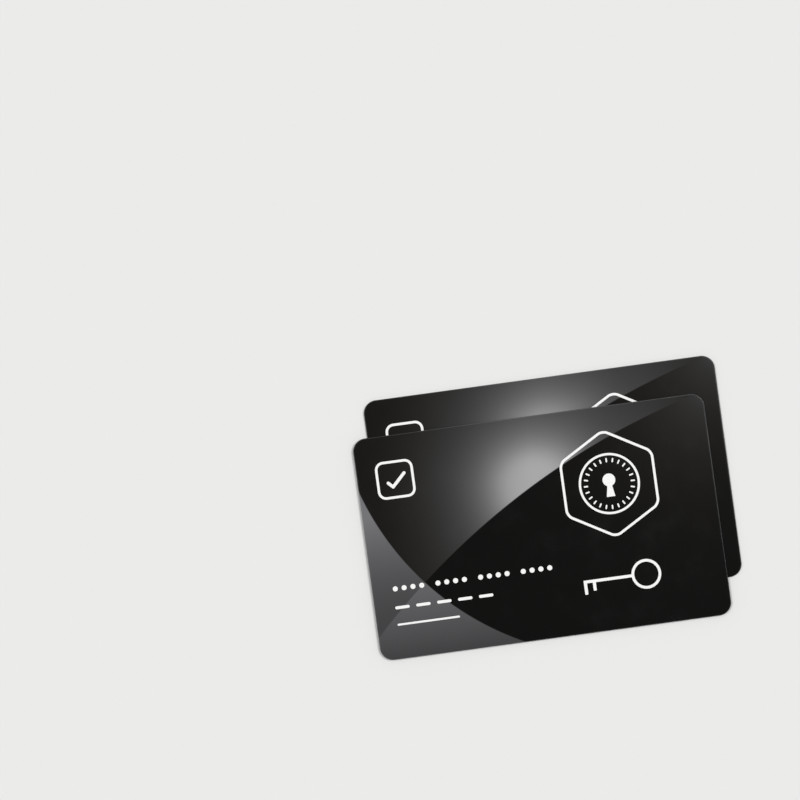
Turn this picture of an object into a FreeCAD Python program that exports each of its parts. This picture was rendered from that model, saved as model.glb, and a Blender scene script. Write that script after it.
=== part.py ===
# A pair of contactless-blocking cards in the bank-card format, lying flat with the front card
# fanned over the rear one. Each card is a hot-pressed stack of plastic sheets round an antenna
# inlay: clear overlay, printed sheet, face core, inlay, back core, printed sheet, clear overlay.
# The inlay is a film with an etched coil on its face, a bridge on its back that brings the outer
# end of the coil in under the turns, and a chip module whose two leads sit on the coil's pads.
# Frame: millimetres, +Z up and out of the printed faces, +X along the cards' long side. The origin
# is on the surface that the rear card lies on, at the middle of the pair.
import FreeCAD
import Part
import Sketcher
import math
import os

PARTS_FOLDER = "parts"
COIL_TURNS = 5

# Driving dimensions, in millimetres: alias, value, meaning
SIZES = (
    ("card_length", 85.60, "long side of a card"),
    ("card_width", 53.98, "short side of a card"),
    ("corner_radius", 3.18, "corners of every sheet that reaches the card's edge"),
    ("overlay_thick", 0.06, "clear film over each printed sheet"),
    ("print_thick", 0.12, "printed sheet on each side"),
    ("face_core_thick", 0.28, "core sheet over the inlay, with the chip's window"),
    ("back_core_thick", 0.20, "core sheet under the inlay, with the film's recess"),
    ("fan_along", 3.80, "how far the rear card stands out along the long side"),
    ("fan_across", 8.80, "how far the rear card stands out along the short side"),
    ("stack_gap", 0.02, "air between the two cards"),
    ("film_inset", 2.00, "inlay film's edge from the card's edge"),
    ("film_thick", 0.05, "inlay film"),
    ("film_corner_radius", 1.50, "corners of the inlay film"),
    ("film_clearance", 0.05, "room round the film in its recess"),
    ("coil_margin", 4.00, "outer turn's outer edge from the card's edge"),
    ("track_width", 0.80, "etched coil track"),
    ("track_gap", 0.80, "bare film between two turns"),
    ("track_thick", 0.035, "etched metal on the film's face"),
    ("bend_radius", 1.60, "corners of the coil, on the track's middle line"),
    ("pad_setback", 0.20, "coil pad's ends from the ends of the bare lead on it"),
    ("pad_width", 1.40, "coil pad, across the card"),
    ("bridge_width", 1.20, "bridge strip on the film's back"),
    ("bridge_thick", 0.035, "bridge strip on the film's back"),
    ("bridge_overhang", 0.70, "bridge strip past the middle of the post at each end"),
    ("post_radius", 0.40, "posts that join the bridge to the pads through the film"),
    ("chip_from_middle", 17.00, "chip module from the card's middle, along the card"),
    ("mould_length", 5.00, "chip's moulded body, along the card"),
    ("mould_width", 4.80, "chip's moulded body, across the card"),
    ("mould_thick", 0.25, "chip's moulded body"),
    ("mould_corner_radius", 0.40, "upright corners of the chip's moulded body"),
    ("window_clearance", 0.10, "room round the moulded body in its window"),
    ("lead_length", 2.00, "chip lead outside the moulded body"),
    ("lead_width", 2.80, "chip lead, across the card"),
    ("lead_thick", 0.08, "chip lead"),
    ("lead_embed", 0.80, "chip lead inside the moulded body"),
)

# Places and sizes that follow from the driving dimensions. Levels are heights above a card's own
# back face, and the other places are measured from the card's middle.
LAST_TURN = COIL_TURNS - 1
FOLLOWING = (
    ("half_along", "Sizes.card_length / 2"),
    ("half_across", "Sizes.card_width / 2"),
    ("back_print_level", "Sizes.overlay_thick"),
    ("back_core_level", "back_print_level + Sizes.print_thick"),
    ("face_core_level", "back_core_level + Sizes.back_core_thick"),
    ("face_print_level", "face_core_level + Sizes.face_core_thick"),
    ("face_overlay_level", "face_print_level + Sizes.print_thick"),
    ("card_thick", "face_overlay_level + Sizes.overlay_thick"),
    ("film_level", "face_core_level - Sizes.film_thick"),
    ("bridge_level", "film_level - Sizes.bridge_thick"),
    ("lead_level", "face_core_level + Sizes.track_thick"),
    ("film_half_along", "half_along - Sizes.film_inset"),
    ("film_half_across", "half_across - Sizes.film_inset"),
    ("recess_half_along", "film_half_along + Sizes.film_clearance"),
    ("recess_half_across", "film_half_across + Sizes.film_clearance"),
    ("recess_corner_radius", "Sizes.film_corner_radius + Sizes.film_clearance"),
    ("mould_half_along", "Sizes.mould_length / 2"),
    ("mould_half_across", "Sizes.mould_width / 2"),
    ("window_half_along", "mould_half_along + Sizes.window_clearance"),
    ("window_half_across", "mould_half_across + Sizes.window_clearance"),
    ("window_corner_radius", "Sizes.mould_corner_radius + Sizes.window_clearance"),
    ("track_pitch", "Sizes.track_width + Sizes.track_gap"),
    ("outer_turn_along", "half_along - Sizes.coil_margin - Sizes.track_width / 2"),
    ("outer_turn_across", "half_across - Sizes.coil_margin - Sizes.track_width / 2"),
    ("inner_turn_across", f"outer_turn_across - {LAST_TURN} * track_pitch"),
    ("chip_clear_of_turn", "Sizes.track_width / 2 + Sizes.track_gap + mould_half_across"),
    ("chip_across", "chip_clear_of_turn - inner_turn_across"),
    ("pad_reach", "mould_half_along + Sizes.lead_length / 2"),
    ("pad_length", "Sizes.lead_length - 2 * Sizes.pad_setback"),
    ("left_pad_along", "Sizes.chip_from_middle - pad_reach"),
    ("right_pad_along", "Sizes.chip_from_middle + pad_reach"),
    ("lead_whole_length", "Sizes.lead_length + Sizes.lead_embed"),
    ("left_lead_start", "left_pad_along - Sizes.lead_length / 2"),
    ("right_lead_start", "right_pad_along + Sizes.lead_length / 2 - lead_whole_length"),
    ("bridge_start", "- outer_turn_across - Sizes.bridge_overhang"),
    ("bridge_length", "chip_across + Sizes.bridge_overhang - bridge_start"),
)

# Where the middle of each card's back face lies
CARD_PLACES = {
    "rear_card": ("Sizes.fan_along / 2", "Sizes.fan_across / 2", "0"),
    "front_card": (
        "-Sizes.fan_along / 2",
        "-Sizes.fan_across / 2",
        "Follow.card_thick + Sizes.stack_gap",
    ),
}

doc = FreeCAD.newDocument("BlockingCards")
sheet = doc.addObject("Spreadsheet::Sheet", "Sizes")
for row, (alias, number, meaning) in enumerate(SIZES, start=1):
    sheet.set(f"A{row}", meaning)
    sheet.set(f"B{row}", str(number))
    sheet.setAlias(f"B{row}", alias)
doc.recompute()

follow = doc.addObject("App::VarSet", "Follow")
for name, formula in FOLLOWING:
    follow.addProperty("App::PropertyFloat", name)
    follow.setExpression(name, formula)
doc.recompute()

pieces = []


def value(name):
    """The number behind a name such as Sizes.card_length or Follow.card_thick."""
    holder, cell = name.split(".")
    return float(getattr(doc.getObject(holder), cell))


def bind(thing, **formulas):
    """Ties properties of an object to the sheet."""
    for name, formula in formulas.items():
        thing.setExpression(name, formula)


def place(thing, card, along="0", across="0", level="0"):
    """Puts an object at a place that is measured from the middle of a card's back face."""
    card_x, card_y, card_z = CARD_PLACES[card]
    thing.setExpression("Placement.Base.x", f"{card_x} + {along}")
    thing.setExpression("Placement.Base.y", f"{card_y} + {across}")
    thing.setExpression("Placement.Base.z", f"{card_z} + {level}")


def keep(thing, card, label):
    """Marks an object as a sub-part that is handed in, under its card's name."""
    thing.Label = f"{card}_{label}"
    pieces.append(thing)
    return thing


def rounded_outline(body, name, half_along, half_across, radius):
    """A fully constrained rectangle with round corners, centred on the body's own axes."""
    sketch = body.newObject("Sketcher::SketchObject", name)
    floor_plane = next(f for f in body.Origin.OriginFeatures if f.Role == "XY_Plane")
    sketch.AttachmentSupport = [(floor_plane, "")]
    sketch.MapMode = "FlatFace"

    a, b, r = value(half_along), value(half_across), value(radius)
    quarter_turn = math.pi / 2
    corners = ((1, -1), (1, 1), (-1, 1), (-1, -1))
    bends = []
    for count, (side_x, side_y) in enumerate(corners):
        centre = FreeCAD.Vector(side_x * (a - r), side_y * (b - r), 0)
        circle = Part.Circle(centre, FreeCAD.Vector(0, 0, 1), r)
        bends.append(Part.ArcOfCircle(circle, (count - 1) * quarter_turn, count * quarter_turn))
    arc = [sketch.addGeometry(bend, False) for bend in bends]
    line = []
    for before, after in zip(bends[-1:] + bends, bends):
        edge = Part.LineSegment(before.EndPoint, after.StartPoint)
        line.append(sketch.addGeometry(edge, False))

    start, end, origin = 1, 2, -1
    for before, edge, after in zip(arc[-1:] + arc, line, arc):
        sketch.addConstraint(Sketcher.Constraint("Tangent", before, end, edge, start))
        sketch.addConstraint(Sketcher.Constraint("Tangent", edge, end, after, start))
    for other in arc[1:]:
        sketch.addConstraint(Sketcher.Constraint("Equal", arc[0], other))
    bottom, right, top, left = line
    for flat in (bottom, top):
        sketch.addConstraint(Sketcher.Constraint("Horizontal", flat))
    for upright in (right, left):
        sketch.addConstraint(Sketcher.Constraint("Vertical", upright))
    driven = (
        ("corner", Sketcher.Constraint("Radius", arc[0], r), radius),
        ("right", Sketcher.Constraint("DistanceX", origin, start, right, start, a), half_along),
        ("left", Sketcher.Constraint("DistanceX", left, start, origin, start, a), half_along),
        ("top", Sketcher.Constraint("DistanceY", origin, start, top, start, b), half_across),
        ("bottom", Sketcher.Constraint("DistanceY", bottom, start, origin, start, b), half_across),
    )
    for label, constraint, formula in driven:
        sketch.renameConstraint(sketch.addConstraint(constraint), label)
        sketch.setExpression(f"Constraints.{label}", formula)
    return sketch


def plate(card, name, half_along, half_across, radius, thick, level, along="0", across="0"):
    """A flat plate with round corners, as a body with one pad."""
    body = doc.addObject("PartDesign::Body", f"{card}_{name}")
    outline = rounded_outline(body, f"{card}_{name}_outline", half_along, half_across, radius)
    pad = body.newObject("PartDesign::Pad", f"{card}_{name}_pad")
    pad.Profile = outline
    bind(pad, Length=thick)
    place(body, card, along, across, level)
    doc.recompute()
    return body


def sink(body, name, half_along, half_across, radius, top, depth, along="0", across="0"):
    """Cuts a pocket with round corners down from the top of a plate, and checks that it cut."""
    before = body.Shape.Volume
    outline = rounded_outline(body, f"{name}_outline", half_along, half_across, radius)
    outline.setExpression("AttachmentOffset.Base.x", along)
    outline.setExpression("AttachmentOffset.Base.y", across)
    outline.setExpression("AttachmentOffset.Base.z", top)
    pocket = body.newObject("PartDesign::Pocket", name)
    pocket.Profile = outline
    bind(pocket, Length=depth)
    doc.recompute()
    if body.Shape.Volume >= before:
        raise RuntimeError(f"{name} cut nothing")


def cut(card, name, base, tool):
    """What is left of a piece where another one is pressed into it."""
    left = doc.addObject("Part::Cut", f"{card}_{name}")
    left.Base = base
    left.Tool = tool
    doc.recompute()
    return left


def full_sheet(card, name, thick, level):
    """A sheet that reaches the card's edge all round."""
    edge = ("Follow.half_along", "Follow.half_across", "Sizes.corner_radius")
    return plate(card, name, *edge, thick, level)


def track_face(points, bend, half_width):
    """A flat strip of even width along square-cornered runs, with each corner rounded."""
    runs = [(after - before).normalize() for before, after in zip(points, points[1:])]
    sides = [FreeCAD.Vector(-run.y, run.x, 0) for run in runs]

    def edge_line(offset):
        """One long edge of the strip, at an offset to the left of its middle line."""
        edges, here = [], points[0] + sides[0] * offset
        for corner, run, side, next_run, next_side in zip(
            points[1:], runs, sides, runs[1:], sides[1:]
        ):
            turn = run.cross(next_run).z
            centre = corner - run * bend + side * (turn * bend)
            outwards = (side + next_side).normalize() * -turn
            bend_start = corner - run * bend + side * offset
            bend_middle = centre + outwards * (bend - turn * offset)
            bend_end = corner + next_run * bend + next_side * offset
            edges.append(Part.LineSegment(here, bend_start).toShape())
            edges.append(Part.Arc(bend_start, bend_middle, bend_end).toShape())
            here = bend_end
        there = points[-1] + sides[-1] * offset
        edges.append(Part.LineSegment(here, there).toShape())
        return edges, there

    left_edges, left_end = edge_line(half_width)
    right_edges, right_end = edge_line(-half_width)
    left_start = points[0] + sides[0] * half_width
    right_start = points[0] - sides[0] * half_width
    end_cap = Part.LineSegment(left_end, right_end).toShape()
    start_cap = Part.LineSegment(right_start, left_start).toShape()
    loop = left_edges + [end_cap] + right_edges[::-1] + [start_cap]
    return Part.Face(Part.Wire(Part.__sortEdges__(loop)))


def coil_points():
    """Corners of the coil's middle line, from its outer pad inwards to the chip's right pad."""
    along, across = value("Follow.outer_turn_along"), value("Follow.outer_turn_across")
    pitch, chip_across = value("Follow.track_pitch"), value("Follow.chip_across")
    corners = [(value("Follow.left_pad_along"), -across)]
    for turn in range(COIL_TURNS):
        x, y = along - turn * pitch, across - turn * pitch
        down_to = chip_across if turn == LAST_TURN else pitch - y
        corners += [(-x, -y), (-x, y), (x, y), (x, down_to)]
    corners.append((value("Follow.right_pad_along"), chip_across))
    return [FreeCAD.Vector(x, y, 0) for x, y in corners]


def antenna_coil(card):
    """The etched metal: one unbroken coil with a pad at each end, and the bridge's inner pad."""
    points = coil_points()
    thick = FreeCAD.Vector(0, 0, value("Sizes.track_thick"))
    pad_length, pad_width = value("Follow.pad_length"), value("Sizes.pad_width")

    def pad(middle):
        corner = middle - FreeCAD.Vector(pad_length / 2, pad_width / 2, 0)
        return Part.makePlane(pad_length, pad_width, corner).extrude(thick)

    half_width = value("Sizes.track_width") / 2
    track = track_face(points, value("Sizes.bend_radius"), half_width).extrude(thick)
    coil = track.fuse([pad(points[0]), pad(points[-1])]).removeSplitter()
    inner_pad = pad(FreeCAD.Vector(points[0].x, points[-1].y, 0))
    metal = doc.addObject("Part::Feature", f"{card}_antenna_coil")
    metal.Shape = Part.makeCompound(coil.Solids + [inner_pad])
    place(metal, card, level="Follow.face_core_level")
    doc.recompute()
    return metal


def chip_leads(card):
    """Two flat leads, each half bare on its coil pad and half inside the moulded body."""
    leads = []
    for side in ("left", "right"):
        lead = doc.addObject("Part::Box", f"{card}_{side}_lead")
        bind(lead, Length="Follow.lead_whole_length", Width="Sizes.lead_width")
        bind(lead, Height="Sizes.lead_thick")
        across = "Follow.chip_across - Sizes.lead_width / 2"
        place(lead, card, f"Follow.{side}_lead_start", across, "Follow.lead_level")
        leads.append(lead)
    pair = doc.addObject("Part::Compound", f"{card}_chip_leads")
    pair.Links = leads
    doc.recompute()
    return pair


def antenna_bridge(card):
    """A strip on the film's back, with a post at each end that reaches a pad through the film."""
    strip = doc.addObject("Part::Box", f"{card}_bridge_strip")
    bind(strip, Length="Sizes.bridge_width", Width="Follow.bridge_length")
    bind(strip, Height="Sizes.bridge_thick")
    along = "Follow.left_pad_along - Sizes.bridge_width / 2"
    place(strip, card, along, "Follow.bridge_start", "Follow.bridge_level")
    posts = []
    for end, across in (("outer", "-Follow.outer_turn_across"), ("inner", "Follow.chip_across")):
        post = doc.addObject("Part::Cylinder", f"{card}_{end}_post")
        bind(post, Radius="Sizes.post_radius", Height="Sizes.bridge_thick + Sizes.film_thick")
        place(post, card, "Follow.left_pad_along", across, "Follow.bridge_level")
        posts.append(post)
    bridge = doc.addObject("Part::MultiFuse", f"{card}_antenna_bridge")
    bridge.Shapes = [strip] + posts
    bridge.Refine = True
    doc.recompute()
    return bridge


def build_card(card):
    """One card from its back overlay up to its face overlay."""
    overlay, printed = "Sizes.overlay_thick", "Sizes.print_thick"
    back_overlay = full_sheet(card, "back_overlay", overlay, "0")
    back_print = full_sheet(card, "back_print_sheet", printed, "Follow.back_print_level")
    face_print = full_sheet(card, "face_print_sheet", printed, "Follow.face_print_level")
    face_overlay = full_sheet(card, "face_overlay", overlay, "Follow.face_overlay_level")

    coil = antenna_coil(card)
    leads = chip_leads(card)
    bridge = antenna_bridge(card)

    mould_blank = plate(
        card,
        "chip_mould_blank",
        "Follow.mould_half_along",
        "Follow.mould_half_across",
        "Sizes.mould_corner_radius",
        "Sizes.mould_thick",
        "Follow.face_core_level",
        "Sizes.chip_from_middle",
        "Follow.chip_across",
    )
    mould = cut(card, "chip_mould", mould_blank, leads)

    film_edge = ("Follow.film_half_along", "Follow.film_half_across", "Sizes.film_corner_radius")
    film_blank = plate(card, "film_blank", *film_edge, "Sizes.film_thick", "Follow.film_level")
    film = cut(card, "antenna_film", film_blank, bridge)

    back_blank = full_sheet(card, "back_core_blank", "Sizes.back_core_thick", "Follow.back_core_level")
    sink(
        back_blank,
        f"{card}_film_recess",
        "Follow.recess_half_along",
        "Follow.recess_half_across",
        "Follow.recess_corner_radius",
        "Sizes.back_core_thick",
        "Sizes.film_thick",
    )
    back_core = cut(card, "back_core_sheet", back_blank, bridge)

    face_blank = full_sheet(card, "face_core_blank", "Sizes.face_core_thick", "Follow.face_core_level")
    sink(
        face_blank,
        f"{card}_chip_window",
        "Follow.window_half_along",
        "Follow.window_half_across",
        "Follow.window_corner_radius",
        "Sizes.face_core_thick",
        "Sizes.face_core_thick",
        "Sizes.chip_from_middle",
        "Follow.chip_across",
    )
    grooved = cut(card, "face_core_grooved", face_blank, coil)
    face_core = cut(card, "face_core_sheet", grooved, leads)

    keep(back_overlay, card, "back_overlay")
    keep(back_print, card, "back_print_sheet")
    keep(back_core, card, "back_core_sheet")
    keep(bridge, card, "antenna_bridge")
    keep(film, card, "antenna_film")
    keep(coil, card, "antenna_coil")
    keep(leads, card, "chip_leads")
    keep(mould, card, "chip_mould")
    keep(face_core, card, "face_core_sheet")
    keep(face_print, card, "face_print_sheet")
    keep(face_overlay, card, "face_overlay")


for card_name in CARD_PLACES:
    build_card(card_name)
doc.recompute()

for thing in doc.Objects:
    if "Invalid" in thing.State or "Error" in thing.State:
        raise RuntimeError(f"{thing.Name} failed: {thing.State}")
for piece in pieces:
    if piece.Shape.isNull() or not piece.Shape.isValid():
        raise RuntimeError(f"{piece.Label} has no valid shape")

os.makedirs(PARTS_FOLDER, exist_ok=True)
for piece in pieces:
    piece.Shape.exportStep(os.path.join(PARTS_FOLDER, f"{piece.Label}.step"))
    solids = len(piece.Shape.Solids)
    print(f"{piece.Label}: {solids} solid(s), {piece.Shape.Volume:.3f} mm3")
coil_length = sum((b - a).Length for a, b in zip(coil_points(), coil_points()[1:]))
print(f"coil: {COIL_TURNS} turns, about {coil_length:.0f} mm of track")
print(f"card: {value('Follow.card_thick'):.2f} mm thick")
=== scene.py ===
# %% [markdown]
# # Dressing a pair of blocking cards
# The object is a pair of flat plastic cards that lie fanned, one on the other. Their solids are loaded
# first, in metres, as a fixed frame: nothing here moves or resizes them. What follows gives them the
# looks of the real thing, which is black glossy print under a clear film, white line art and a die-cut
# edge with a thin bright rim. The print's grey sweep paints a reflection and a highlight into the face's
# colour, and the rim's line is a bruise with a painted highlight.

# %% Load the solids
import math

import bmesh
import bpy
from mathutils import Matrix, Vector


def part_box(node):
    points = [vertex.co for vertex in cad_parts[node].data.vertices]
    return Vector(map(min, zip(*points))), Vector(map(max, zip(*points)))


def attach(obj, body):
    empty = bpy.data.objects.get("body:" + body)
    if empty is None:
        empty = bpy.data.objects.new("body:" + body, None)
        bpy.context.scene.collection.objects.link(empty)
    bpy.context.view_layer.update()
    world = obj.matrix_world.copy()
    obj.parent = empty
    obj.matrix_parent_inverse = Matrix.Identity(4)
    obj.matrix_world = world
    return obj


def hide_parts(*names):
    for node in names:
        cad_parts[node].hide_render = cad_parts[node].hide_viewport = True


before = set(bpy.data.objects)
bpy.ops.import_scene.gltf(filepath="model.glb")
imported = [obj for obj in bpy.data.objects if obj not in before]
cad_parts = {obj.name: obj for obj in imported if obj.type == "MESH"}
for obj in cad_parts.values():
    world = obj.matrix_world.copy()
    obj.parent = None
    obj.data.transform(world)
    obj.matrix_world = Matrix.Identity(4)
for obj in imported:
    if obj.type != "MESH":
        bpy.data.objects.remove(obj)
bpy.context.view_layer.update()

MM = 0.001
CARDS = ("rear_card", "front_card")

# %% [markdown]
# ## Camera
# The photograph looks straight at the printed faces, and opposite edges stay parallel in it. The cards
# lie flat here, so the camera hangs above them, with a long lens. It is turned about its own axis by the
# cards' tilt in the picture, and moved sideways until the front card's middle lands on its pixel. A lens
# shift would give the same picture, but it would pull every other view off centre.

# %% Hang the camera above the cards
PHOTO_SIZE_PX = 800
FRONT_MIDDLE_PX = (542.2, 527.0)
PX_PER_MM = 4.14
CARD_TILT = math.radians(7.78)
CAMERA_HEIGHT = 0.9
SENSOR_WIDTH_MM = 36

face_low, face_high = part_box("front_card_face_overlay")
front_middle = (face_low + face_high) / 2
view_right = Vector((math.cos(CARD_TILT), -math.sin(CARD_TILT), 0))
view_up = Vector((math.sin(CARD_TILT), math.cos(CARD_TILT), 0))
metres_per_px = MM / PX_PER_MM
right_of_centre = (FRONT_MIDDLE_PX[0] - PHOTO_SIZE_PX / 2) * metres_per_px
below_centre = (FRONT_MIDDLE_PX[1] - PHOTO_SIZE_PX / 2) * metres_per_px
aim = front_middle - view_right * right_of_centre + view_up * below_centre

bpy.ops.object.select_all(action="DESELECT")
bpy.ops.object.camera_add(
    location=(aim.x, aim.y, face_high.z + CAMERA_HEIGHT), rotation=(0, 0, -CARD_TILT)
)
camera = bpy.context.object
camera.data.sensor_width = SENSOR_WIDTH_MM
camera.data.lens = SENSOR_WIDTH_MM * CAMERA_HEIGHT / (PHOTO_SIZE_PX * metres_per_px)
bpy.context.scene.camera = camera
bpy.context.scene.view_settings.view_transform = "Standard"
print("camera over", [round(side / MM, 1) for side in aim], "mm, lens", round(camera.data.lens, 1), "mm")

# %% [markdown]
# ## Floor
# A matt pale floor carries the cards and their soft shadow. It reaches far out, so that its edge shows in
# no view, and it lies a hair below the cards, so that no two faces share a plane.

# %% Lay the floor
FLOOR_SIZE = 12.0
FLOOR_DROP = 0.01 * MM
FLOOR_GREY = (0.80, 0.80, 0.79, 1)
FLOOR_ROUGHNESS = 0.9
FLOOR_SPECULAR = 0.1

bpy.ops.object.select_all(action="DESELECT")
bpy.ops.mesh.primitive_plane_add(size=FLOOR_SIZE, location=(0, 0, -FLOOR_DROP))
floor = bpy.context.object
floor.name = "floor"
floor_paint = bpy.data.materials.new("pale_floor")
floor_paint.use_nodes = True
floor_shader = floor_paint.node_tree.nodes["Principled BSDF"]
floor_shader.inputs["Base Color"].default_value = FLOOR_GREY
floor_shader.inputs["Roughness"].default_value = FLOOR_ROUGHNESS
floor_shader.inputs["Specular IOR Level"].default_value = FLOOR_SPECULAR
floor.data.materials.append(floor_paint)
print("floor:", FLOOR_SIZE, "m wide")

# %% [markdown]
# ## Room and lamps
# A gloss card mirrors the room: seen from straight above it shows what hangs above it, and seen from the
# side it shows the walls. To keep the black deep from every side, the room is dark overhead and low on
# the walls, with a soft pale band half way up. Two soft lamps stand high to the upper right and the left,
# so that the rims on those sides catch a thin line of light and the lower rims stay dim. They are sun
# lamps, which light the floor evenly all the way out, so it stays pale behind the cards from every side.

# %% Shade the room from the floor to overhead
ROOM_GREYS = ((0.0, 0.10), (0.25, 0.16), (0.56, 0.38), (0.74, 0.26), (0.90, 0.06))

world = bpy.data.worlds.new("studio")
world.use_nodes = True
bpy.context.scene.world = world
room = world.node_tree
direction = room.nodes.new("ShaderNodeTexCoord")
height = room.nodes.new("ShaderNodeSeparateXYZ")
walls = room.nodes.new("ShaderNodeValToRGB")
walls.color_ramp.interpolation = "B_SPLINE"
stops = walls.color_ramp.elements
stops.remove(stops[1])
for height_share, _ in ROOM_GREYS[1:]:
    stops.new(height_share)
for stop, (height_share, grey) in zip(stops, ROOM_GREYS):
    stop.position = height_share
    stop.color = (grey, grey, grey, 1)
room.links.new(direction.outputs["Generated"], height.inputs["Vector"])
room.links.new(height.outputs["Z"], walls.inputs["Fac"])
room.links.new(walls.outputs["Color"], room.nodes["Background"].inputs["Color"])
print("greys in the room:", len(stops))

# %% Set the lamps, each with its turn from the picture's right, its height and its strength
LAMP_SPREAD = math.radians(16)
LAMPS = {
    "right_softbox": (math.radians(30), math.radians(72), 1.60),
    "left_softbox": (math.radians(165), math.radians(72), 1.16),
}

for lamp_name, (round_from_right, above_floor, strength) in LAMPS.items():
    bpy.ops.object.light_add(type="SUN", location=(0, 0, CAMERA_HEIGHT))
    lamp = bpy.context.object
    lamp.name = lamp_name
    lamp.data.energy = strength
    lamp.data.angle = LAMP_SPREAD
    lamp.rotation_euler = (0, math.pi / 2 - above_floor, round_from_right - CARD_TILT)
print("lamps:", list(LAMPS))

# %% [markdown]
# ## Tools for modelling by hand
# Every piece below starts as a plane or a circle and is shaped in edit mode, as with the mouse. These
# helpers do what the mouse would: they start a primitive with nothing else selected, select the vertices,
# edges or faces whose middle passes a test, extrude what is selected, and leave edit mode.


# %% Start a piece in edit mode
def edit_plane(name, place=(0, 0)):
    """A flat square of one metre in edit mode, centred on a place in the floor plane."""
    bpy.ops.object.select_all(action="DESELECT")
    bpy.ops.mesh.primitive_plane_add(size=1, location=(*place, 0))
    return open_for_edit(name)


def edit_disc(name, radius, corners, place):
    """A flat disc, or a regular polygon, in edit mode, with one corner straight up."""
    bpy.ops.object.select_all(action="DESELECT")
    bpy.ops.mesh.primitive_circle_add(
        vertices=corners, radius=radius, fill_type="NGON", location=(*place, 0)
    )
    return open_for_edit(name)


def open_for_edit(name):
    """Puts the new primitive's place into its mesh, names it and goes into edit mode."""
    bpy.ops.object.transform_apply(location=True, rotation=True, scale=True)
    piece = bpy.context.object
    piece.name = name
    piece.data.name = name
    bpy.ops.object.mode_set(mode="EDIT")
    bpy.ops.mesh.select_all(action="SELECT")
    return piece


# %% Pick parts of a piece, extrude them and close the piece
SMOOTH_BELOW = math.radians(30)


def pick(kind, test):
    """Selects only the vertices, edges or faces that pass a test of their middle, and counts them."""
    bpy.ops.mesh.select_mode(type=kind)
    bpy.ops.mesh.select_all(action="DESELECT")
    mesh = bmesh.from_edit_mesh(bpy.context.object.data)
    found = 0
    for part in {"VERT": mesh.verts, "EDGE": mesh.edges, "FACE": mesh.faces}[kind]:
        corners = [part] if kind == "VERT" else list(part.verts)
        middle = sum((corner.co for corner in corners), Vector()) / len(corners)
        if test(middle):
            part.select_set(True)
            found += 1
    mesh.select_flush_mode()
    bmesh.update_edit_mesh(bpy.context.object.data)
    return found


def extrude(along=0.0, across=0.0, up=0.0):
    """Extrudes what is selected by a distance along each axis."""
    bpy.ops.mesh.extrude_region_move(TRANSFORM_OT_translate={"value": (along, across, up)})


def close_edit():
    """Leaves edit mode with the faces pointing outwards and soft shading on gentle edges."""
    bpy.ops.mesh.select_all(action="SELECT")
    bpy.ops.mesh.normals_make_consistent(inside=False)
    bpy.ops.object.mode_set(mode="OBJECT")
    bpy.ops.object.shade_smooth_by_angle(angle=SMOOTH_BELOW)


# %% [markdown]
# ## The pressed skin
# On each side of a card the printed sheet and its clear film are welded by the hot press, so they show as
# one skin. The die leaves its outer edge slightly rolled and bruised, and that draws the thin bright line
# round a real card. A skin could be a copy of the solid with a bevel on it. Starting from a plane is
# cleaner: its corners are rounded by a vertex bevel, it is extruded to its thickness, its outer edge is
# bevelled, and a narrow inset beside the roll keeps its soft shading off the big flat face. A second
# inset marks off the border where the cut bruises the film, and the rim finish also paints a highlight
# there. One skin is modelled, and the four sides of the two cards are copies of it.

# %% Measure the sheet that the skin stands for
TOUCHING = 0.001 * MM

print_low, print_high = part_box("front_card_face_print_sheet")
card_size = print_high - print_low
skin_thick = face_high.z - print_low.z
front_edge = [
    corner.co.x
    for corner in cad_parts["front_card_face_print_sheet"].data.vertices
    if abs(corner.co.y - print_low.y) < TOUCHING
]
corner_radius = min(front_edge) - print_low.x
print("skin in mm:", [round(side / MM, 2) for side in (card_size.x, card_size.y, skin_thick)],
      "with corners of", round(corner_radius / MM, 2))

# %% Model one skin
ROUND_PROFILE = 0.5
CORNER_STEPS = 24
ROLL_RADIUS = 0.16 * MM
ROLL_STEPS = 6
FLAT_MARGIN = 0.03 * MM
BRUISE_AND_HIGHLIGHT_WIDTH = 0.18 * MM

skin = edit_plane("skin")
bpy.ops.transform.resize(value=(card_size.x, card_size.y, 1))
bpy.ops.mesh.bevel(
    offset=corner_radius, segments=CORNER_STEPS, profile=ROUND_PROFILE, affect="VERTICES"
)
extrude(up=skin_thick)
rim_edges = pick("EDGE", lambda middle: abs(middle.z - skin_thick) < TOUCHING)
bpy.ops.mesh.bevel(offset=ROLL_RADIUS, segments=ROLL_STEPS, profile=ROUND_PROFILE, affect="EDGES")
pick("FACE", lambda middle: middle.length < card_size.y / 4 and middle.z > skin_thick / 2)
bpy.ops.mesh.inset(thickness=FLAT_MARGIN)
bpy.ops.mesh.inset(thickness=BRUISE_AND_HIGHLIGHT_WIDTH)
close_edit()
print("skin:", len(skin.data.polygons), "faces,", rim_edges, "edges rolled")

# %% [markdown]
# ## White line print
# The marks on the face are white lines a little over half a millimetre wide. They could be a mask in the
# material, but a mask is only as sharp as the picture that it is baked into. Screen printing leaves a
# film of ink that stands a little proud, and modelled that way the marks stay crisp from any distance.
# Each mark is drawn flat from planes and discs: corners are rounded by a vertex bevel, and an outline is
# what stays when a shape is inset and its middle deleted. The flat shapes of a mark are then joined and
# extruded to the ink's thickness.

# %% Draw flat shapes
ROUND_STEPS = 8
ROUND_END_SHARE = 0.48


def leave_edit():
    """Leaves edit mode and gives back the flat shape that was drawn there."""
    bpy.ops.object.mode_set(mode="OBJECT")
    return bpy.context.object


def round_corners(radius):
    """Rounds the selected corners of the flat shape in edit mode."""
    bpy.ops.mesh.bevel(offset=radius, segments=ROUND_STEPS, profile=ROUND_PROFILE, affect="VERTICES")


def keep_outline(line):
    """Empties the flat shape in edit mode, so that a line of even width is left of it."""
    bpy.ops.mesh.select_mode(type="FACE")
    bpy.ops.mesh.select_all(action="SELECT")
    bpy.ops.mesh.inset(thickness=line)
    bpy.ops.mesh.delete(type="FACE")


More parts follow.
